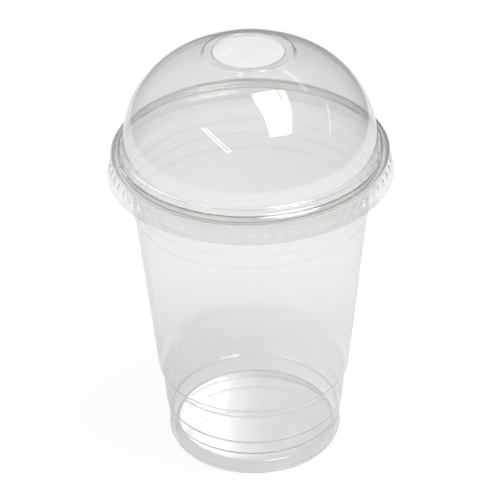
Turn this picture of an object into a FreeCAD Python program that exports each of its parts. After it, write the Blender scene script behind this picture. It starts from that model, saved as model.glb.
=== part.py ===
# Clear drinks cup with a domed lid that presses over its rolled rim, in millimetres.
# Both pieces are drawn from sheet plastic, so each is one thin wall turned about the upright axis.
# The origin is the middle of the foot, on the table, with +Z up.
import FreeCAD
import Part
import Sketcher

import math
import os
import re

from FreeCAD import Vector

doc = FreeCAD.newDocument("CupWithLid")
sheet = doc.addObject("Spreadsheet::Sheet", "Sizes")

SIZES = {
    # cup wall and rolled rim
    "cup_height": 121.5,
    "cup_wall": 0.35,
    "rim_radius": 49.0,
    "rim_roll": 1.45,
    "neck_depth": 9.6,
    "neck_round": 0.5,
    "body_top_radius": 43.2,
    "ledge_slope": 0.8,
    # shallow rings pressed into the upper wall
    "ring_spacing": 5.5,
    "ring_below_ledge": 3.1,
    "ring_half_height": 1.6,
    "ring_proud": 0.4,
    "ring_round": 3.0,
    "ring_edge_round": 1.5,
    # stacking shoulder
    "shoulder_height": 31.0,
    "shoulder_radius": 35.3,
    "shoulder_drop": 3.8,
    "shoulder_foot_radius": 33.8,
    "shoulder_round": 0.6,
    "shoulder_foot_round": 2.0,
    # band between the ledge and the waist
    "ledge_height": 15.7,
    "ledge_radius": 33.05,
    "band_top_radius": 31.8,
    "band_top_drop": 0.7,
    "waist_height": 9.6,
    "waist_radius": 31.0,
    "groove_round": 0.8,
    # foot
    "foot_top_height": 7.7,
    "foot_top_radius": 31.4,
    "foot_radius": 32.1,
    "foot_corner_height": 2.3,
    "contact_outer_radius": 31.1,
    "contact_inner_radius": 30.1,
    "contact_round": 0.5,
    "foot_round": 1.4,
    # base panel, pushed up off the table
    "base_rise": 4.0,
    "base_radius": 29.2,
    "base_round": 0.5,
    "panel_radius": 20.4,
    "panel_step": 0.5,
    # lid wall and straw hole
    "lid_wall": 0.3,
    "seat_gap": 0.15,
    "hole_radius": 12.5,
    "collar_height": 159.7,
    "collar_radius": 15.7,
    "collar_foot_radius": 16.7,
    "collar_round": 0.5,
    "lip_depth": 1.3,
    # dome
    "dome_height": 160.5,
    "crown_radius": 58.0,
    "side_radius": 34.0,
    "dome_draft": 2.5,
    "dome_foot_radius": 45.0,
    "dome_foot_height": 123.4,
    # land, bead over the rim, grip crease and skirt
    "land_width": 1.3,
    "land_slope": 0.6,
    "land_round": 0.5,
    "crease_below_rim": 2.9,
    "crease_radius": 48.8,
    "crease_round": 0.5,
    "bead_tail": 1.0,
    "skirt_radius": 50.8,
    "skirt_height": 112.4,
    # flutes pressed out of the upper skirt
    "flute_count": 64,
    "flute_width": 2.0,
    "flute_length": 3.9,
    "flute_proud": 0.35,
    "flute_taper": 0.4,
    "flute_below_crease": 0.4,
}

for row, (name, size) in enumerate(SIZES.items(), start=1):
    sheet.set(f"A{row}", name)
    sheet.set(f"B{row}", str(size))
    sheet.setAlias(f"B{row}", name)
doc.recompute()

# Sizes that follow from the ones above
NECK_RADIUS = "rim_radius - 2 * rim_roll + cup_wall"
ROLL_CENTRE_RADIUS = "rim_radius - rim_roll"
ROLL_CENTRE_HEIGHT = "cup_height - rim_roll"
ROLL_INNER = "rim_roll - cup_wall"
LEDGE_FOOT_HEIGHT = "cup_height - neck_depth - ledge_slope"
BEAD_RADIUS = "rim_radius + seat_gap + lid_wall"
BEAD_HEIGHT = "cup_height + seat_gap + lid_wall"
BEAD_ROUND = "rim_roll + seat_gap + lid_wall"
CREASE_HEIGHT = "cup_height - crease_below_rim"
SKIRT_DROP = f"({CREASE_HEIGHT} - skirt_height)"
SKIRT_FLARE = "(skirt_radius - crease_radius)"

START, END, CENTRE = 1, 2, 3
AXIS_R, AXIS_Z = -1, -2
UPRIGHT = FreeCAD.Placement(Vector(0, 0, 0), FreeCAD.Rotation(Vector(1, 0, 0), 90))


def number(expression):
    return float(sheet.evalExpression(expression))


def bound(expression):
    return re.sub(r"[a-z]+_[a-z_]+", lambda word: "Sizes." + word.group(0), expression)


class Outline:
    """An open run of lines and arcs in the half plane beside the axis, each size bound to the sheet."""

    def __init__(self, name):
        self.name = name
        self.geometry = []
        self.helpers = []
        self.rules = []
        self.sizes = []

    def add(self, shape, helper=False):
        self.geometry.append((shape, helper))
        return len(self.geometry) - 1

    def rule(self, *words):
        self.rules.append(words)

    def size(self, kind, where, expression, value=None):
        self.rules.append((kind, *where, number(expression) if value is None else value))
        self.sizes.append((len(self.rules) - 1, expression))

    def hold(self, shape, point, radius=None, height=None):
        """Ties a point's distance from the axis and its height to the sheet."""
        for kind, axis, expression in (("DistanceX", AXIS_Z, radius), ("DistanceY", AXIS_R, height)):
            if expression is None:
                continue
            if expression == "0":
                self.rule("PointOnObject", shape, point, axis)
            else:
                self.size(kind, (-1, START, shape, point), expression)

    def line(self, start, end):
        return self.add(Part.LineSegment(start, end))

    def arc(self, centre, start, end):
        """An arc that turns the short way from start to end; says which of its ends is at start."""
        first = math.atan2(start.y - centre.y, start.x - centre.x)
        last = math.atan2(end.y - centre.y, end.x - centre.x)
        anticlockwise = (last - first) % math.tau < math.pi
        low, high = (first, last) if anticlockwise else (last, first)
        circle = Part.Circle(centre, Vector(0, 0, 1), (start - centre).Length)
        shape = self.add(Part.ArcOfCircle(circle, low, low + (high - low) % math.tau))
        return shape, (START if anticlockwise else END), (END if anticlockwise else START)

    def run(self, corners, held_start=True, held_end=True):
        """Lines through the corners, each (radius, height, rounding or None), and the indices of the
        first and last line."""
        points = [Vector(*(number(c) if isinstance(c, str) else c for c in corner[:2]), 0)
                  for corner in corners]
        cuts = [(points[0], None, points[0])]
        for before, here, after, corner in zip(points, points[1:], points[2:], corners[1:]):
            if corner[2] is None:
                cuts.append((here, None, here))
                continue
            back = (before - here).normalize()
            ahead = (after - here).normalize()
            half = back.getAngle(ahead) / 2
            radius = number(corner[2])
            centre = here + (back + ahead).normalize() * (radius / math.sin(half))
            reach = radius / math.tan(half)
            cuts.append((here + back * reach, centre, here + ahead * reach))
        cuts.append((points[-1], None, points[-1]))

        lines = [self.line(a[2], b[0]) for a, b in zip(cuts, cuts[1:])]
        for index, corner in enumerate(corners[1:-1]):
            before, after = lines[index], lines[index + 1]
            start, centre, end = cuts[index + 1]
            if centre is None:
                self.rule("Coincident", before, END, after, START)
                self.hold(before, END, corner[0], corner[1])
                continue
            shape, first, last = self.arc(centre, start, end)
            self.rule("Tangent", before, END, shape, first)
            self.rule("Tangent", shape, last, after, START)
            self.size("Radius", (shape,), corner[2])
            meeting = self.add(Part.Point(points[index + 1]), helper=True)
            self.rule("PointOnObject", meeting, START, before)
            self.rule("PointOnObject", meeting, START, after)
            self.hold(meeting, START, corner[0], corner[1])
        if held_start:
            self.hold(lines[0], START, corners[0][0], corners[0][1])
        if held_end:
            self.hold(lines[-1], END, corners[-1][0], corners[-1][1])
        return lines[0], lines[-1]

    def finish(self):
        sketch = doc.addObject("Sketcher::SketchObject", self.name)
        sketch.Placement = UPRIGHT
        for shape, helper in self.geometry:
            sketch.addGeometry(shape, helper)
        sketch.addConstraint([Sketcher.Constraint(*words) for words in self.rules])
        for index, expression in self.sizes:
            sketch.setExpression(f"Constraints[{index}]", bound(expression))
        doc.recompute()
        if not sketch.FullyConstrained:
            raise RuntimeError(f"{self.name} is not fully constrained")
        return sketch


def turned(name, sketch, wall, side):
    """A thin section on one side of the outline, 1 for its left and -1 for its right, turned about the axis."""
    section = doc.addObject("Part::Offset2D", name + "Section")
    section.Source = sketch
    section.Mode = "Skin"
    section.Join = "Arc"
    section.Fill = True
    section.Value = side * number(wall)
    section.setExpression("Value", f"{side} * " + bound(wall))
    solid = doc.addObject("Part::Revolution", name)
    solid.Source = section
    solid.Axis = (0, 0, 1)
    solid.Base = (0, 0, 0)
    solid.Angle = 360
    solid.Solid = True
    return solid


def cup_outline():
    """The cup's outer face, from the middle of its base to the open end of the rolled rim."""
    outline = Outline("CupOutline")
    slope = "(body_top_radius - shoulder_radius) / (cup_height - neck_depth - ledge_slope - shoulder_height)"

    def wall_radius(height):
        return f"shoulder_radius + ({height} - shoulder_height) * {slope}"

    corners = [
        ("0", "base_rise + panel_step", None),
        ("panel_radius - panel_step", "base_rise + panel_step", None),
        ("panel_radius", "base_rise", None),
        ("base_radius", "base_rise", "base_round"),
        ("contact_inner_radius", "0", "contact_round"),
        ("contact_outer_radius", "0", "contact_round"),
        ("foot_radius", "foot_corner_height", "foot_round"),
        ("foot_top_radius", "foot_top_height", "groove_round"),
        ("waist_radius", "waist_height", "groove_round"),
        ("band_top_radius", "ledge_height - band_top_drop", "groove_round / 2"),
        ("ledge_radius", "ledge_height", "groove_round"),
        ("shoulder_foot_radius", "shoulder_height - shoulder_drop", "shoulder_foot_round"),
        ("shoulder_radius", "shoulder_height", "shoulder_round"),
    ]
    for ring in (2, 1, 0):
        middle = f"cup_height - neck_depth - ring_below_ledge - {ring} * ring_spacing"
        low = f"{middle} - ring_half_height"
        high = f"{middle} + ring_half_height"
        corners += [
            (wall_radius(f"({low})"), low, "ring_edge_round"),
            (wall_radius(f"({middle})") + " + ring_proud", middle, "ring_round"),
            (wall_radius(f"({high})"), high, "ring_edge_round"),
        ]
    corners += [
        ("body_top_radius", LEDGE_FOOT_HEIGHT, "neck_round"),
        (NECK_RADIUS, "cup_height - neck_depth", "neck_round"),
        (NECK_RADIUS, ROLL_CENTRE_HEIGHT, None),
    ]
    first, last = outline.run(corners)
    centre = Vector(number(ROLL_CENTRE_RADIUS), number(ROLL_CENTRE_HEIGHT), 0)
    inner = number(ROLL_INNER)
    circle = Part.Circle(centre, Vector(0, 0, 1), inner)
    roll = outline.add(Part.ArcOfCircle(circle, -math.pi / 2, math.pi))
    outline.rule("Tangent", last, END, roll, END)
    outline.size("Radius", (roll,), ROLL_INNER)
    outline.hold(roll, START, radius=ROLL_CENTRE_RADIUS)
    return outline.finish()


def lid_outline():
    """The lid's outer face, from the lip of the straw hole to the edge of the skirt."""
    outline = Outline("LidOutline")
    crown = number("crown_radius")
    side = number("side_radius")
    draft = math.radians(number("dome_draft"))
    crown_centre = Vector(0, number("dome_height - crown_radius"), 0)
    collar = number("collar_foot_radius")
    collar_foot = Vector(collar, crown_centre.y + math.sqrt(crown ** 2 - collar ** 2), 0)

    # The side arc touches the crown from inside and the wall, which leans in by the draft
    foot = Vector(number("dome_foot_radius"), number("dome_foot_height"), 0)
    outward = Vector(math.cos(draft), math.sin(draft), 0)
    up = Vector(-math.sin(draft), math.cos(draft), 0)
    beside = foot - outward * side - crown_centre
    along = beside.dot(up)
    climb = -along + math.sqrt(along ** 2 - beside.dot(beside) + (crown - side) ** 2)
    side_centre = foot - outward * side + up * climb
    touch = crown_centre + (side_centre - crown_centre).normalize() * crown
    wall_top = side_centre + outward * side

    lip, collar_line = outline.run([
        ("hole_radius", "collar_height - lip_depth", None),
        ("hole_radius", "collar_height", "collar_round"),
        ("collar_radius", "collar_height", "collar_round"),
        (collar_foot.x, collar_foot.y, None),
    ], held_end=False)
    crown_arc, crown_start, crown_end = outline.arc(crown_centre, collar_foot, touch)
    side_arc, side_start, side_end = outline.arc(side_centre, touch, wall_top)
    wall, skirt = outline.run([
        (wall_top.x, wall_top.y, None),
        ("dome_foot_radius", "dome_foot_height", "land_round"),
        ("dome_foot_radius + land_width", "dome_foot_height", "land_round"),
        ("dome_foot_radius + land_width + land_slope", BEAD_HEIGHT, "land_round"),
        (BEAD_RADIUS, BEAD_HEIGHT, BEAD_ROUND),
        (BEAD_RADIUS, CREASE_HEIGHT + " + bead_tail", "crease_round"),
        ("crease_radius", CREASE_HEIGHT, "crease_round"),
        ("skirt_radius", "skirt_height", None),
    ], held_start=False)
    outline.rule("Coincident", collar_line, END, crown_arc, crown_start)
    outline.hold(collar_line, END, radius="collar_foot_radius")
    outline.size("Radius", (crown_arc,), "crown_radius")
    outline.hold(crown_arc, CENTRE, "0", "dome_height - crown_radius")
    outline.rule("Tangent", crown_arc, crown_end, side_arc, side_start)
    outline.size("Radius", (side_arc,), "side_radius")
    outline.rule("Tangent", side_arc, side_end, wall, START)
    outline.size("Angle", (wall,), "dome_draft - 90", draft - math.pi / 2)
    return outline.finish()


def flute(body, kind, name, depth):
    """One flute: a long low block with sloping sides, square to the skirt, its base sunk into the wall."""
    block = body.newObject("PartDesign::" + kind, name)
    for low, high, expression in (
        ("Xmin", "Xmax", "flute_width / 2"),
        ("Zmin", "Zmax", "flute_length / 2"),
        ("X2min", "X2max", "flute_width / 2 - flute_taper"),
        ("Z2min", "Z2max", "flute_length / 2 - flute_taper"),
    ):
        block.setExpression(low, f"-({bound(expression)})")
        block.setExpression(high, bound(expression))
    block.Ymin = 0
    block.setExpression("Ymax", bound("flute_proud + lid_wall / 2"))
    lean = f"atan2({SKIRT_FLARE}; {SKIRT_DROP})"
    along = "(flute_below_crease + flute_length / 2)"
    sunk = f"({depth} + lid_wall / 2)"
    radius = f"crease_radius + {along} * sin({lean}) - {sunk} * cos({lean})"
    height = f"{CREASE_HEIGHT} - {along} * cos({lean}) - {sunk} * sin({lean})"
    block.setExpression("Placement", bound(
        f"placement(vector({radius}; 0; {height}); "
        f"rotation(vector(0; 1; 0); -({lean})) * rotation(vector(0; 0; 1); -90))"
    ))
    return block


def ring_of(body, feature):
    ring = body.newObject("PartDesign::PolarPattern", feature.Name + "Ring")
    ring.Originals = [feature]
    ring.Axis = (next(line for line in body.Origin.OriginFeatures if line.Role == "Z_Axis"), [""])
    ring.Angle = 360
    ring.setExpression("Occurrences", bound("flute_count"))
    body.Tip = ring


def fluted(name, wall):
    """The lid with its flutes: raised blocks outside and matching hollows inside, all round the skirt."""
    body = doc.addObject("PartDesign::Body", name)
    body.BaseFeature = wall
    ring_of(body, flute(body, "AdditiveWedge", "FluteOutside", "0"))
    ring_of(body, flute(body, "SubtractiveWedge", "FluteInside", "lid_wall"))
    return body


cup = turned("Cup", cup_outline(), "cup_wall", 1)
cup.Label = "cup"
lid = fluted("Lid", turned("LidWall", lid_outline(), "lid_wall", -1))
lid.Label = "dome_lid"
doc.recompute()

for item in doc.Objects:
    if "Invalid" in item.State or "Error" in item.State:
        raise RuntimeError(f"{item.Name} failed: {item.State}")

os.makedirs("parts", exist_ok=True)
for piece in (cup, lid):
    shape = piece.Shape
    if shape.isNull() or not shape.isValid() or len(shape.Solids) != 1:
        raise RuntimeError(f"{piece.Label} is not one sound solid")
    shape.exportStep(os.path.join("parts", piece.Label + ".step"))
    box = shape.optimalBoundingBox()
    print(piece.Label, round(shape.Volume), "mm3", round(box.ZMin, 2), round(box.ZMax, 2), round(box.XMax, 2))
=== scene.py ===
# %% [markdown]
# # A clear cold-drink cup with a dome lid
#
# Both pieces of this object are one thin sheet of clear plastic each. There is no paint, print or grain to
# copy: everything that the eye sees is light that was bent or mirrored by the two faces of a wall a third
# of a millimetre thick. So this lesson spends its care on two things, the exact line of each wall and what
# stands around the object to be seen in it.
#
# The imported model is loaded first. It fixes where everything is, in metres, and nothing of it is moved.

# %% Load the frame
import math

import bpy
from mathutils import Matrix, Quaternion, Vector


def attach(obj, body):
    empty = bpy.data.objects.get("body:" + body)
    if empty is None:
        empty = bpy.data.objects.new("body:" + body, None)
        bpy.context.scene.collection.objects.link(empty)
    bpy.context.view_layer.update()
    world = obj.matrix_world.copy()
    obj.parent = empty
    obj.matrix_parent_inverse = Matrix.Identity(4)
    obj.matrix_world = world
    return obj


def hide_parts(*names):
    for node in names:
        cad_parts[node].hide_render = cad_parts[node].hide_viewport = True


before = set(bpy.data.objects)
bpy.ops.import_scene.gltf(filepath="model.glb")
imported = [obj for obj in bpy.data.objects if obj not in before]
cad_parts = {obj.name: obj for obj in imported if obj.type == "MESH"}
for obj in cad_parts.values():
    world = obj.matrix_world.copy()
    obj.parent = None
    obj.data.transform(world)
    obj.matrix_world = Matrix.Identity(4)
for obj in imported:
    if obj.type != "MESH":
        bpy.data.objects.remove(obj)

scene = bpy.context.scene
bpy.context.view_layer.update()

# %% [markdown]
# ## The camera
#
# A picture like this is taken with a long lens from about a metre away, looking down at the lid. The place
# of the camera was worked out from the rings of the cup: each ring is a circle of known size, and the
# ellipse that it makes in the picture tells how far off and how high the eye is. A camera in Blender looks
# along its own -Z, so it is pointed with a track rotation and then rolled a little, because the picture
# isn't quite level.

# %% Place the camera
MM = 0.001
LENS = 180.0
SENSOR = 36.0
CLIP_START, CLIP_END = 0.05, 60.0
EYE = Vector((0.0, -762.0, 566.9)) * MM
AIM = Vector((-0.74, -1.2, 78.6)) * MM
ROLL = math.radians(-1.05)

camera_data = bpy.data.cameras.new("camera")
camera_data.lens = LENS
camera_data.sensor_width = SENSOR
camera_data.clip_start = CLIP_START
camera_data.clip_end = CLIP_END
camera = bpy.data.objects.new("camera", camera_data)
scene.collection.objects.link(camera)
camera.location = EYE
level = (AIM - EYE).to_track_quat("-Z", "Y")
camera.rotation_mode = "QUATERNION"
camera.rotation_quaternion = level @ Quaternion((0.0, 0.0, 1.0), ROLL)
scene.camera = camera
print("the camera is", round((AIM - EYE).length, 3), "m from its aim")

# %% [markdown]
# ## Light through many walls
#
# A look straight through this cup crosses a lid wall, a cup wall and then both again on the far side, and
# each wall has two faces. Each face is one bounce for the renderer. If it may not count that far, the light
# stops inside and the plastic turns black where walls overlap, so the limits go well up. The view transform
# is Standard, which shows a colour as it is written.

# %% Let the light pass
BOUNCES = 40
DIFFUSE_BOUNCES = 3

scene.view_settings.view_transform = "Standard"
scene.cycles.max_bounces = BOUNCES
scene.cycles.transmission_bounces = BOUNCES
scene.cycles.glossy_bounces = BOUNCES // 2
scene.cycles.diffuse_bounces = DIFFUSE_BOUNCES
print("bounces allowed:", BOUNCES)

# %% [markdown]
# ## Helpers for materials
#
# Colours are written as they look on a screen, in hex, and one function turns them to the linear values
# that a shader counts in. Another adds a node with its settings and its links, so that a material reads
# from top to bottom. Three more are for the nodes that come back again and again.

# %% Colour and node helpers
def linear(code):
    """A colour written as #rrggbb, in linear light."""
    parts = [int(code[i : i + 2], 16) / 255 for i in (1, 3, 5)]
    return tuple(p / 12.92 if p <= 0.04045 else ((p + 0.055) / 1.055) ** 2.4 for p in parts) + (1.0,)


def add(tree, kind, inputs=None, **settings):
    """A node of that kind with its settings. inputs gives each of its inputs, by name or number, a plain
    value or the output that feeds it."""
    node = tree.nodes.new(kind)
    for name, value in settings.items():
        setattr(node, name, value)
    for key, value in (inputs or {}).items():
        if isinstance(value, bpy.types.NodeSocket):
            tree.links.new(value, node.inputs[key])
        else:
            node.inputs[key].default_value = value
    return node


def calculated(tree, operation, first, second):
    """The number that an operation makes of two others."""
    return add(tree, "ShaderNodeMath", {0: first, 1: second}, operation=operation).outputs[0]


def mapped(tree, value, low, high, start=0.0, end=1.0):
    """start where the value is at most low, end where it is at least high, and an even rise between them."""
    return add(tree, "ShaderNodeMapRange", {
        "Value": value, "From Min": low, "From Max": high, "To Min": start, "To Max": end}).outputs[0]


def mixed(tree, share, first, second):
    """The colour that lies that share of the way from the first to the second."""
    return add(tree, "ShaderNodeMix", {0: share, 6: first, 7: second}, data_type="RGBA").outputs[2]


def emptied(owner):
    """The node tree of a material or a world, with nothing in it."""
    owner.use_nodes = True
    owner.node_tree.nodes.clear()
    return owner.node_tree


WHITE = linear("#ffffff")
print("white in linear light:", WHITE)

# %% [markdown]
# ## The white floor
#
# The cup stands on white paper, lit so strongly that it has no tone of its own. A floor that is only
# painted white would need lamps that burn the object out, so most of this one shines by itself, at the
# strength that is exactly white. It does that for what looks at it: the camera, and rays mirrored or bent
# by the plastic. The rest is plain diffuse white, which keeps the soft shadow of the cup. Rays that came
# through the plastic see more of that shadow, because the tone at the foot of a clear cup is the tone of
# the paper behind it. They also see painted shade on the paper, set by the distance from the cup's middle:
# white under the cup, a painted shadow of the cup close behind it, white again, and then a little darker
# where painted shade stands for light that falls off far away.
#
# A sheet of paper in a studio ends half a metre from the object, and the plastic mirrors the dark floor
# beyond it. That is where the rings and the right side of the dome get their grey. Only mirrored rays see
# this end: whoever looks straight through the plastic sees white paper from every side.

# %% Tones of the paper and the room
FLOOR_HALF = 12.0
OWN_LIGHT = 0.92
SHADOW_END = (0.8, 2.5)
OWN_LIGHT_THROUGH = 0.72
# Metres from the cup's middle, and the painted shade there: a painted shadow of the cup close to it, and a
# darker tone far off that stands for light falling off.
PAINTED_SHADE_TONES = (
    (0.033, "#ffffff"),
    (0.040, "#f4f4f4"),
    (0.060, "#f0f0f0"),
    (0.085, "#f8f8f8"),
    (0.110, "#ffffff"),
    (0.167, "#f7f7f7"),
    (0.204, "#f3f3f3"),
    (0.360, "#f7f7f7"),
)
FURTHEST = 0.40
MIRRORED_TONE = "#ededed"
PAPER_END = (0.50, 0.62)
ROOM_LEFT, ROOM_RIGHT = "#a6a8aa", "#54565a"
FLOOR_SPAN = 0.6


def bounced(tree, path):
    """1 for a ray that was mirrored on its way, 0 for one that was only bent."""
    return calculated(tree, "GREATER_THAN", path.outputs["Glossy Depth"], 0.5)


def room_tone(tree, sideways, span):
    """The grey of the room, lighter on its left. sideways runs from -span to span across it."""
    return mixed(tree, mapped(tree, sideways, -span, span), linear(ROOM_LEFT), linear(ROOM_RIGHT))


def tones_along(tree, value, furthest, tones):
    """The colour that a row of tones gives at a value. Each tone is (value, hex colour)."""
    ramp = add(tree, "ShaderNodeValToRGB", {0: mapped(tree, value, 0.0, furthest)})
    stops = ramp.color_ramp.elements
    for stop, (place, code) in zip(stops, tones):
        stop.position = place / furthest
        stop.color = linear(code)
    for place, code in tones[len(stops):]:
        stops.new(place / furthest).color = linear(code)
    return ramp.outputs[0]


def paper_tone(tree, path, spot, away):
    """What tone the paper shows. The camera sees it white, bent rays see painted shade on it, a painted
    shadow of the cup near it and a painted falloff far off, and mirrored rays see it a little darker and
    then its end."""
    was_mirrored = bounced(tree, path)
    ended = calculated(tree, "MULTIPLY", mapped(tree, away, *PAPER_END), was_mirrored)
    # Painted shade by distance from the cup: a painted shadow near its foot and a painted falloff far off.
    lit = tones_along(tree, away, FURTHEST, PAINTED_SHADE_TONES)
    near = mixed(tree, was_mirrored, lit, linear(MIRRORED_TONE))
    sheet = mixed(tree, path.outputs["Is Camera Ray"], near, WHITE)
    sideways = add(tree, "ShaderNodeSeparateXYZ", {0: spot}).outputs["X"]
    return mixed(tree, ended, sheet, room_tone(tree, sideways, FLOOR_SPAN))


def own_share(tree, path, away):
    """How much of the floor is its own light: none for rays that light other things, and for the camera more
    of it far off."""
    mirrored = calculated(tree, "MAXIMUM", path.outputs["Is Camera Ray"], path.outputs["Is Glossy Ray"])
    seen = calculated(tree, "MAXIMUM", mirrored, path.outputs["Is Transmission Ray"])
    to_camera = mapped(tree, away, *SHADOW_END, OWN_LIGHT, 1.0)
    own = mapped(tree, path.outputs["Is Camera Ray"], 0.0, 1.0, OWN_LIGHT_THROUGH, to_camera)
    return calculated(tree, "MULTIPLY", seen, own)


# %% Lay the floor
paper = bpy.data.materials.new("white_paper")
tree = emptied(paper)
path = add(tree, "ShaderNodeLightPath")
spot = add(tree, "ShaderNodeNewGeometry").outputs["Position"]
away = add(tree, "ShaderNodeVectorMath", {0: spot}, operation="LENGTH").outputs["Value"]
tone = paper_tone(tree, path, spot, away)
matt = add(tree, "ShaderNodeBsdfDiffuse", {"Color": tone})
shine = add(tree, "ShaderNodeEmission", {"Color": tone, "Strength": 1.0})
share = own_share(tree, path, away)
both = add(tree, "ShaderNodeMixShader", {0: share, 1: matt.outputs[0], 2: shine.outputs[0]})
add(tree, "ShaderNodeOutputMaterial", {"Surface": both.outputs[0]})

floor_mesh = bpy.data.meshes.new("floor")
corners = [(-1, -1), (1, -1), (1, 1), (-1, 1)]
floor_mesh.from_pydata([(x * FLOOR_HALF, y * FLOOR_HALF, 0.0) for x, y in corners], [], [(0, 1, 2, 3)])
floor = bpy.data.objects.new("floor", floor_mesh)
floor.data.materials.append(paper)
scene.collection.objects.link(floor)
print("the floor reaches", FLOOR_HALF, "m each way")

# %% [markdown]
# ## The room
#
# Clear plastic shows its shape by what it isn't: where it bends the view away from the white paper, the eye
# sees the room instead, as a grey line. So the world is white low down for rays that were only bent, and a
# plain grey room with a lighter ceiling above that and for all mirrored rays. The camera itself always sees
# white.

# %% Make the room
HORIZON = (0.05, 0.25)
CEILING = (0.55, 0.85)
CEILING_TONE = "#bcbebf"
ROOM_SPAN = 0.7

world = bpy.data.worlds.new("room")
scene.world = world
tree = emptied(world)
direction = add(tree, "ShaderNodeTexCoord").outputs["Generated"]
axes = add(tree, "ShaderNodeSeparateXYZ", {0: direction}).outputs
path = add(tree, "ShaderNodeLightPath")
in_room = calculated(tree, "MAXIMUM", mapped(tree, axes["Z"], *HORIZON), bounced(tree, path))
walls = room_tone(tree, axes["X"], ROOM_SPAN)
walls_and_ceiling = mixed(tree, mapped(tree, axes["Z"], *CEILING), walls, linear(CEILING_TONE))
room = mixed(tree, in_room, WHITE, walls_and_ceiling)
looked = mixed(tree, path.outputs["Is Camera Ray"], room, WHITE)
sky = add(tree, "ShaderNodeBackground", {"Color": looked, "Strength": 1.0})
add(tree, "ShaderNodeOutputWorld", {"Surface": sky.outputs[0]})
print("nodes in the room:", len(tree.nodes))

# %% [markdown]
# ## The lamps
#
# The bright four-sided patch on the dome is a window, or a lamp as large as one, mirrored in the curved
# wall, with a bar across it. A mirror image on a ball tells where its light stands: the normal at that
# point halves the angle between the eye and the light. That puts a long split panel above the cup, a little
# to the right, and narrow strips around it.
#
# The flat base is a mirror too. It shows what stands low behind the cup, which is a panel that is bright on
# the left and fades to the right in steps. The last lamp is a wide soft one overhead. It is there for the
# paper, so mirrored and bent rays don't see it.

# %% Lamp helpers
CUP_MIDDLE = Vector((0.0, 0.0, 0.08))
STRIP_DISTANCE = 1.2


def matrix_of(x, y, z, place):
    """The matrix of an object whose own axes lie along x, y and z."""
    matrix = Matrix.Identity(4)
    for column, axis in enumerate((x, y, z, place)):
        for row in range(3):
            matrix[row][column] = axis[row]
    return matrix


def panel(name, centre, along, size, radiance):
    """A rectangular lamp that faces the cup, its long side lying along a direction."""
    data = bpy.data.lights.new(name, "AREA")
    data.shape = "RECTANGLE"
    data.size, data.size_y = size
    data.energy = radiance * size[0] * size[1] * math.pi
    lamp = bpy.data.objects.new(name, data)
    scene.collection.objects.link(lamp)
    back = (Vector(centre) - CUP_MIDDLE).normalized()
    long_side = Vector(along) - back * Vector(along).dot(back)
    long_side.normalize()
    lamp.matrix_world = matrix_of(long_side.cross(back), long_side, back, centre)
    return lamp


def towards_sky(azimuth, elevation, distance):
    """The point that far off in a direction. Azimuth 0 is the camera's side and 90 is the right."""
    a, e = math.radians(azimuth), math.radians(elevation)
    return Vector((math.sin(a) * math.cos(e), -math.cos(a) * math.cos(e), math.sin(e))) * distance


def strip(name, start, end, width, radiance):
    """A narrow lamp that runs across the sky from one (azimuth, elevation) to another."""
    a, b = towards_sky(*start, STRIP_DISTANCE), towards_sky(*end, STRIP_DISTANCE)
    return panel(name, (a + b) / 2, b - a, (width, (b - a).length), radiance)


# %% Hang the lamps
HIGH_CENTRE = Vector((0.45, -0.20, 1.35))
HIGH_ALONG, HIGH_LENGTH = Vector((0.37, -0.93, 0.0)), 1.25
HIGH_ASIDE = Vector((0.93, 0.37, 0.0))
HIGH_RADIANCE = 8.0
# The width of each part of the window, and how far aside its middle is.
for name, width, aside in (("high_panel", 0.37, -0.07), ("high_panel_narrow", 0.09, 0.185)):
    panel(name, HIGH_CENTRE + aside * HIGH_ASIDE, HIGH_ALONG, (width, HIGH_LENGTH), HIGH_RADIANCE)

THIN = 0.012
strip("left_strip", (-19, 38.5), (-61, 53), THIN, 9.0)
strip("left_strip_2", (-21.5, 36.6), (-63.5, 51), THIN, 9.0)
strip("right_strip", (82, 26), (111, 41), THIN, 4.0)
strip("hole_strip", (178, 46), (125, 54), 0.05, 1.2)

BACK_DISTANCE, BACK_RISE, BACK_TALL = 3.0, 36.3, 0.31
# The left and right edge of each step of the low panel, and its radiance.
BACK_STEPS = ((-0.35, -0.05, 6.0), (-0.05, 0.0, 2.2), (0.0, 0.12, 1.0), (0.12, 0.32, 0.7))
for left, right, radiance in BACK_STEPS:
    middle = towards_sky(180, BACK_RISE, BACK_DISTANCE) + Vector(((left + right) / 2, 0.0, 0.0))
    panel(f"back_panel_{radiance}", middle, (0.0, 0.0, 1.0), (right - left, BACK_TALL), radiance)

FILL_HEIGHT, FILL_SIDE, FILL_RADIANCE = 2.5, 3.0, 0.9
fill = panel("fill", (0.0, 0.0, FILL_HEIGHT), (0.0, 1.0, 0.0), (FILL_SIDE, FILL_SIDE), FILL_RADIANCE)
fill.visible_glossy = False
fill.visible_transmission = False
print("lamps:", len(bpy.data.lights))

# %% [markdown]
# ## The line of a wall
#
# A thermoformed piece is one warm sheet drawn over a mould, so its shape is a line spun round the middle.
# The line is written as a designer would draw it, as corners with a rounding each. The function below turns
# each corner into a short tangent arc. Every point also keeps the direction in which the line faces there.
# With those the second face of the wall is the first one moved along them, and the shading is exact, which
# matters more than the number of points: the eye reads a bent highlight at once.

# %% From corners to a line
ARC_STEP = math.radians(14.0)
RUN_STEP = 6.0
TINY = 1e-6


def arc(centre, radius, start, end, step=ARC_STEP):
    """Points of an arc as (radius, height, facing radius, facing height). Angles are in radians, from
    outwards."""
    count = max(2, math.ceil(abs(end - start) / step))
    points = []
    for i in range(count + 1):
        angle = start + (end - start) * i / count
        facing = (math.cos(angle), math.sin(angle))
        points.append((centre[0] + radius * facing[0], centre[1] + radius * facing[1], *facing))
    return points


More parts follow.
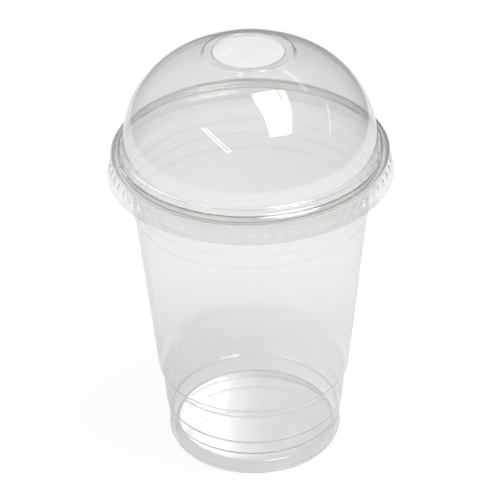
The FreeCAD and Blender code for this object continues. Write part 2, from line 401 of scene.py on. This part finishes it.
def rounded(corners, side):
    """The points of a line through corners (radius, height, rounding). side is 1 where the line faces to the
    right of its way and -1 where it faces to the left."""
    points = []
    for k, (r, z, rounding) in enumerate(corners):
        if k in (0, len(corners) - 1):
            a, b = (corners[0], corners[1]) if k == 0 else (corners[-2], corners[-1])
            way = Vector((b[0] - a[0], b[1] - a[1])).normalized()
            points.append((r, z, side * way.y, -side * way.x))
            continue
        before = Vector((r - corners[k - 1][0], z - corners[k - 1][1])).normalized()
        after = Vector((corners[k + 1][0] - r, corners[k + 1][1] - z)).normalized()
        turn = math.atan2(before.x * after.y - before.y * after.x, before.dot(after))
        bend = 1 if turn > 0 else -1
        start = Vector((r, z)) - before * rounding * math.tan(abs(turn) / 2)
        centre = start + Vector((-before.y, before.x)) * bend * rounding
        count = max(2, math.ceil(abs(turn) / ARC_STEP))
        for i in range(count + 1):
            way = Vector(before)
            way.rotate(Matrix.Rotation(turn * i / count, 2))
            place = centre - Vector((-way.y, way.x)) * bend * rounding
            points.append((place.x, place.y, side * way.y, -side * way.x))
    return points


def divided(points, step=RUN_STEP):
    """The same line with more points on its long straight runs."""
    finer = [points[0]]
    for a, b in zip(points, points[1:]):
        gap = math.dist(a[:2], b[:2])
        if gap < TINY:
            continue
        count = math.ceil(gap / step)
        for i in range(1, count + 1):
            t = i / count
            finer.append(tuple(p + (q - p) * t for p, q in zip(a, b)))
    return finer


# %% [markdown]
# ## Spinning the line
#
# Blender has a Screw modifier that spins a line, but it knows nothing of the second face or of exact
# normals. The function below walks the outer line and then back along the inner one, so that the piece is
# closed like the real sheet, and lays a ring of vertices for each point. A point on the middle axis becomes
# one vertex with a fan of triangles.
#
# Where a wall is also pressed outwards in places, the line's own normals no longer hold. There the mesh
# gives them.

# %% Spin a wall
END_STEPS = 5
PRESSED_LOW, PRESSED_HIGH = 113.5, 118.4


def round_end(last, wall, side):
    """Points of the half circle that closes a wall beyond the last point of its line."""
    r, z, nr, nz = last
    points = []
    for i in range(1, END_STEPS):
        turn = math.pi * i / END_STEPS
        facing_r = nr * math.cos(turn) - side * nz * math.sin(turn)
        facing_z = nz * math.cos(turn) + side * nr * math.sin(turn)
        place = (r + (facing_r - nr) * wall / 2, z + (facing_z - nz) * wall / 2)
        points.append((*place, facing_r, facing_z))
    return points


def spun(name, line, wall, side, segments, press=None):
    """A closed wall spun from its outer line. wall is its thickness in mm, away from where the line faces.
    press(angle, height) says how far a spot is pushed outwards, in mm."""
    inner = [(r - wall * nr, z - wall * nz, -nr, -nz) for r, z, nr, nz in reversed(line)]
    section = line + round_end(line[-1], wall, side) + inner
    open_middle = line[0][0] > TINY
    if open_middle:
        section += round_end(inner[-1], wall, side)
    verts, normals, rings = [], [], []
    for r, z, nr, nz in section:
        turns = segments if r > TINY else 1
        rings.append(range(len(verts), len(verts) + turns))
        for i in range(turns):
            angle = 2 * math.pi * i / segments
            pushed = r + (press(angle, z) if press else 0.0)
            verts.append((pushed * math.cos(angle) * MM, pushed * math.sin(angle) * MM, z * MM))
            normals.append((nr * math.cos(angle), nr * math.sin(angle), nz))
    faces = []
    pairs = list(zip(rings, rings[1:]))
    if open_middle:
        pairs.append((rings[-1], rings[0]))
    for a, b in pairs:
        for i in range(segments):
            j = (i + 1) % segments
            quad = [a[i % len(a)], a[j % len(a)], b[j % len(b)], b[i % len(b)]]
            face = list(dict.fromkeys(quad))
            faces.append(face[::side])
    mesh = bpy.data.meshes.new(name)
    mesh.from_pydata(verts, [], faces)
    mesh.shade_smooth()
    if press:
        made = [v.vector.copy() for v in mesh.vertex_normals]
        for k, v in enumerate(verts):
            if PRESSED_LOW < v[2] / MM < PRESSED_HIGH:
                normals[k] = made[k]
    mesh.normals_split_custom_set_from_vertices(normals)
    piece = bpy.data.objects.new(name, mesh)
    scene.collection.objects.link(piece)
    print(name, "has", sum(len(f) - 2 for f in faces), "triangles")
    return piece


# %% [markdown]
# ## The cup
#
# From the middle of the base: the base, the foot ring that it stands on, a foot, a narrow waist, a tapered
# band with a ledge, a round shoulder, and then the long wall. Three low rings near the top keep stacked
# cups apart. Above them a gentle cone and a small step lead out to the neck, and the sheet's edge is rolled
# outwards and down into the rim, which is what makes the mouth stiff and smooth to drink from.

# %% Sizes of the cup, in mm
CUP_HEIGHT = 121.5
CUP_WALL = 0.35
CUP_SEGMENTS = 384
RIM_RADIUS = 49.0
RIM_ROLL = 1.45
NECK_RADIUS = RIM_RADIUS - 2 * RIM_ROLL + CUP_WALL
CONE_FOOT = 114.0
STEP_RADIUS, STEP_FOOT, STEP_TOP = 45.4, 117.5, 118.2
BODY_TOP_RADIUS = 43.2
BODY_TOP = CUP_HEIGHT - 10.4
SHOULDER_RADIUS, SHOULDER_HEIGHT = 35.3, 31.0
TOP_RING = BODY_TOP - 2.3
RING_SPACING = 5.5
RING_HALF = 1.6
RING_PROUD = 0.4
RING_ROUND, RING_EDGE_ROUND = 3.0, 1.5
print("the mouth is", 2 * RIM_RADIUS, "mm wide and the neck", round(2 * NECK_RADIUS, 2))


# %% Line of the cup
def wall_radius(z):
    """The long wall's outer radius at a height."""
    share = (z - SHOULDER_HEIGHT) / (BODY_TOP - SHOULDER_HEIGHT)
    return SHOULDER_RADIUS + (BODY_TOP_RADIUS - SHOULDER_RADIUS) * share


foot = [
    (0.0, 4.0, 0.0),
    (29.2, 4.0, 1.2),
    (30.1, 0.0, 0.5),
    (31.1, 0.0, 0.5),
    (32.1, 2.3, 1.4),
    (31.8, 7.6, 1.0),
    (31.4, 9.2, 0.3),
    (32.15, 9.9, 0.6),
    (32.55, 15.0, 0.8),
    (33.05, 15.7, 0.8),
    (33.8, 27.4, 3.0),
    (SHOULDER_RADIUS, SHOULDER_HEIGHT, 1.6),
]
rings = []
for k in (2, 1, 0):
    middle = TOP_RING - k * RING_SPACING
    rings.append((wall_radius(middle - RING_HALF), middle - RING_HALF, RING_EDGE_ROUND))
    rings.append((wall_radius(middle) + RING_PROUD, middle, RING_ROUND))
    rings.append((wall_radius(middle + RING_HALF), middle + RING_HALF, RING_EDGE_ROUND))
neck = [
    (wall_radius(CONE_FOOT), CONE_FOOT, 2.0),
    (STEP_RADIUS, STEP_FOOT, 0.4),
    (NECK_RADIUS, STEP_TOP, 0.4),
    (NECK_RADIUS, CUP_HEIGHT - RIM_ROLL, 0.0),
]
ROLL_INNER = RIM_ROLL - CUP_WALL
roll_end = CUP_WALL / (RIM_ROLL + ROLL_INNER) - math.pi / 2
roll = arc((RIM_RADIUS - RIM_ROLL, CUP_HEIGHT - RIM_ROLL), ROLL_INNER, math.pi, roll_end)
# The line runs inside the roll, so it faces the roll's middle.
roll = [(r, z, -nr, -nz) for r, z, nr, nz in roll]
cup_line = divided(rounded(foot + rings + neck, 1)) + roll[1:]
cup = spun("clear_cup", cup_line, CUP_WALL, 1, CUP_SEGMENTS)

# %% [markdown]
# ## The dome lid
#
# The straw hole is punched into a flat collar and its edge is turned down. The dome is two arcs that run
# into each other, and it ends on a flat land. Then the bead goes over the cup's rim with a hair of room, a
# crease grips under the rim, and the skirt flares out with a row of pressed flutes that keep it stiff.

# %% Sizes of the lid, in mm
LID_WALL = 0.3
LID_SEGMENTS = 448
SEAT_GAP = 0.15
HOLE_RADIUS, HOLE_LIP = 12.5, 1.3
COLLAR_HEIGHT = 159.7
COLLAR_RADIUS, COLLAR_FOOT_RADIUS = 15.7, 16.7
CROWN_RADIUS, SIDE_RADIUS = 58.0, 34.0
CROWN_CENTRE = Vector((0.0, 160.5 - CROWN_RADIUS))
CROWN_STEP, SIDE_STEP = math.radians(2.5), math.radians(3.0)
DRAFT = math.radians(2.5)
DOME_FOOT = Vector((45.0, 123.4))
LAND_WIDTH, BEAD_FOOT_WIDTH = 1.3, 1.9
BEAD_TOP = CUP_HEIGHT + SEAT_GAP + LID_WALL
BEAD_RADIUS = RIM_RADIUS + SEAT_GAP + LID_WALL
CREASE_RADIUS, CREASE_HEIGHT = 48.8, CUP_HEIGHT - 2.9
SKIRT_RADIUS, SKIRT_FOOT, SKIRT_STEP = 50.8, 112.4, 0.45
FLUTES = 64
FLUTE_HALF, FLUTE_FLANK, FLUTE_PROUD = 1.4, 0.7, 0.4
FLUTE_TOP, FLUTE_FOOT, FLUTE_RUNOUT = 118.2, 114.5, 1.4
print("the bead is", round(2 * BEAD_RADIUS, 2), "mm wide, and the skirt has", FLUTES, "flutes")

# %% Line of the lid
up_the_wall = Vector((-math.sin(DRAFT), math.cos(DRAFT)))
outwards = Vector((math.cos(DRAFT), math.sin(DRAFT)))
from_crown = DOME_FOOT - SIDE_RADIUS * outwards - CROWN_CENTRE
along = from_crown.dot(up_the_wall)
climb = -along + math.sqrt(along**2 - from_crown.length_squared + (CROWN_RADIUS - SIDE_RADIUS) ** 2)
SIDE_CENTRE = CROWN_CENTRE + from_crown + climb * up_the_wall
meet = math.atan2(SIDE_CENTRE.y - CROWN_CENTRE.y, SIDE_CENTRE.x)
collar_foot = math.acos(COLLAR_FOOT_RADIUS / CROWN_RADIUS)
crown = arc(CROWN_CENTRE, CROWN_RADIUS, collar_foot, meet, CROWN_STEP)
side_arc = arc(SIDE_CENTRE, SIDE_RADIUS, meet, DRAFT, SIDE_STEP)
print("the dome's side arc has its centre at", [round(v, 2) for v in SIDE_CENTRE])

collar = rounded([
    (HOLE_RADIUS, COLLAR_HEIGHT - HOLE_LIP + LID_WALL / 2, 0.0),
    (HOLE_RADIUS, COLLAR_HEIGHT, 0.5),
    (COLLAR_RADIUS, COLLAR_HEIGHT, 0.5),
    (crown[0][0], crown[0][1], 0.15),
    (crown[1][0], crown[1][1], 0.0),
], -1)[:-1]
skirt = Vector((SKIRT_RADIUS - CREASE_RADIUS, SKIRT_FOOT - CREASE_HEIGHT)).normalized() * LID_WALL / 2
seat = rounded([
    (side_arc[-1][0], side_arc[-1][1], 0.0),
    (DOME_FOOT.x, DOME_FOOT.y, 0.5),
    (DOME_FOOT.x + LAND_WIDTH, DOME_FOOT.y, 0.5),
    (DOME_FOOT.x + BEAD_FOOT_WIDTH, BEAD_TOP, 0.5),
    (BEAD_RADIUS, BEAD_TOP, RIM_ROLL + SEAT_GAP + LID_WALL),
    (BEAD_RADIUS, CREASE_HEIGHT + 1.0, 0.5),
    (CREASE_RADIUS, CREASE_HEIGHT, 0.5),
    (SKIRT_RADIUS - skirt.x, SKIRT_FOOT - skirt.y, 0.0),
], -1)
skirt_line = divided(seat[-2:], SKIRT_STEP)
lid_line = collar + crown[1:] + side_arc[1:] + seat[1:-1] + skirt_line[1:]


# %% Press the flutes and spin the lid
def smooth(value):
    """0 below 0, 1 above 1, and a smooth rise between."""
    value = min(1.0, max(0.0, value))
    return value * value * (3 - 2 * value)


def flute(angle, z):
    """How far the skirt is pressed outwards, in mm, at an angle and a height."""
    if not FLUTE_FOOT < z < FLUTE_TOP:
        return 0.0
    pitch = 2 * math.pi / FLUTES
    off = abs((angle + pitch / 2) % pitch - pitch / 2) * SKIRT_RADIUS
    across = smooth((FLUTE_HALF - off) / FLUTE_FLANK)
    along_it = smooth((FLUTE_TOP - z) / FLUTE_RUNOUT) * smooth((z - FLUTE_FOOT) / FLUTE_RUNOUT)
    return FLUTE_PROUD * across * along_it


lid = spun("clear_dome_lid", lid_line, LID_WALL, -1, LID_SEGMENTS, flute)

# %% [markdown]
# ## Clear plastic
#
# Cups like this are made of clear PET, drawn warm over a polished mould. Its faces are glossy and smooth,
# it bends light with an index of about 1.575, and thick edges look faintly yellow green because the light
# runs a long way inside them.

# %% Finish of the plastic
PET_INDEX = 1.575
# A faint grey on every face: partly the plastic's own, and partly painted shade for the shadowed paper seen
# through the cup.
PET_TINT_AND_SHADE = "#f6f6f6"
EDGE_TINT, EDGE_DENSITY = "#e6e9ac", 55.0
# How fine the waves of the sheet are, and how high in metres.
DRAW_WAVES, DRAW_DEPTH = 70.0, 0.00002
HAZE_PATCHES = 160.0


def clear_pet(name, smooth_to, rough_to):
    """Thermoformed clear PET. The sheet is drawn unevenly, so its faces are wavy by a few micrometres over a
    centimetre, and its gloss is a little duller where it was stretched most."""
    material = bpy.data.materials.new(name)
    tree = emptied(material)
    place = add(tree, "ShaderNodeTexCoord").outputs["Object"]
    draw = add(tree, "ShaderNodeTexNoise", {"Vector": place, "Scale": DRAW_WAVES, "Detail": 2.0})
    height = draw.outputs["Fac"]
    waves = add(tree, "ShaderNodeBump", {"Height": height, "Distance": DRAW_DEPTH, "Strength": 1.0})
    haze = add(tree, "ShaderNodeTexNoise", {"Vector": place, "Scale": HAZE_PATCHES, "Detail": 3.0})
    gloss = add(tree, "ShaderNodeBsdfPrincipled", {
        # The grey of each face, partly painted shade.
        "Base Color": linear(PET_TINT_AND_SHADE),
        "Roughness": mapped(tree, haze.outputs["Fac"], 0.0, 1.0, smooth_to, rough_to),
        "IOR": PET_INDEX,
        "Transmission Weight": 1.0,
        "Normal": waves.outputs[0],
    })
    depth = add(tree, "ShaderNodeVolumeAbsorption", {"Color": linear(EDGE_TINT), "Density": EDGE_DENSITY})
    add(tree, "ShaderNodeOutputMaterial", {"Surface": gloss.outputs[0], "Volume": depth.outputs[0]})
    return material


cup.data.materials.append(clear_pet("thermoformed_clear_pet_cup", 0.02, 0.07))
lid.data.materials.append(clear_pet("thermoformed_clear_pet_lid", 0.02, 0.06))
print("materials:", sorted(m.name for m in bpy.data.materials if m.users))

# %% [markdown]
# ## Handing over
#
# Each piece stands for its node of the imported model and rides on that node's body, so that the lid lifts
# off in the poses.

# %% Ride on the frame
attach(cup, "cup")
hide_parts("cup")
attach(lid, "lid")
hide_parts("dome_lid")
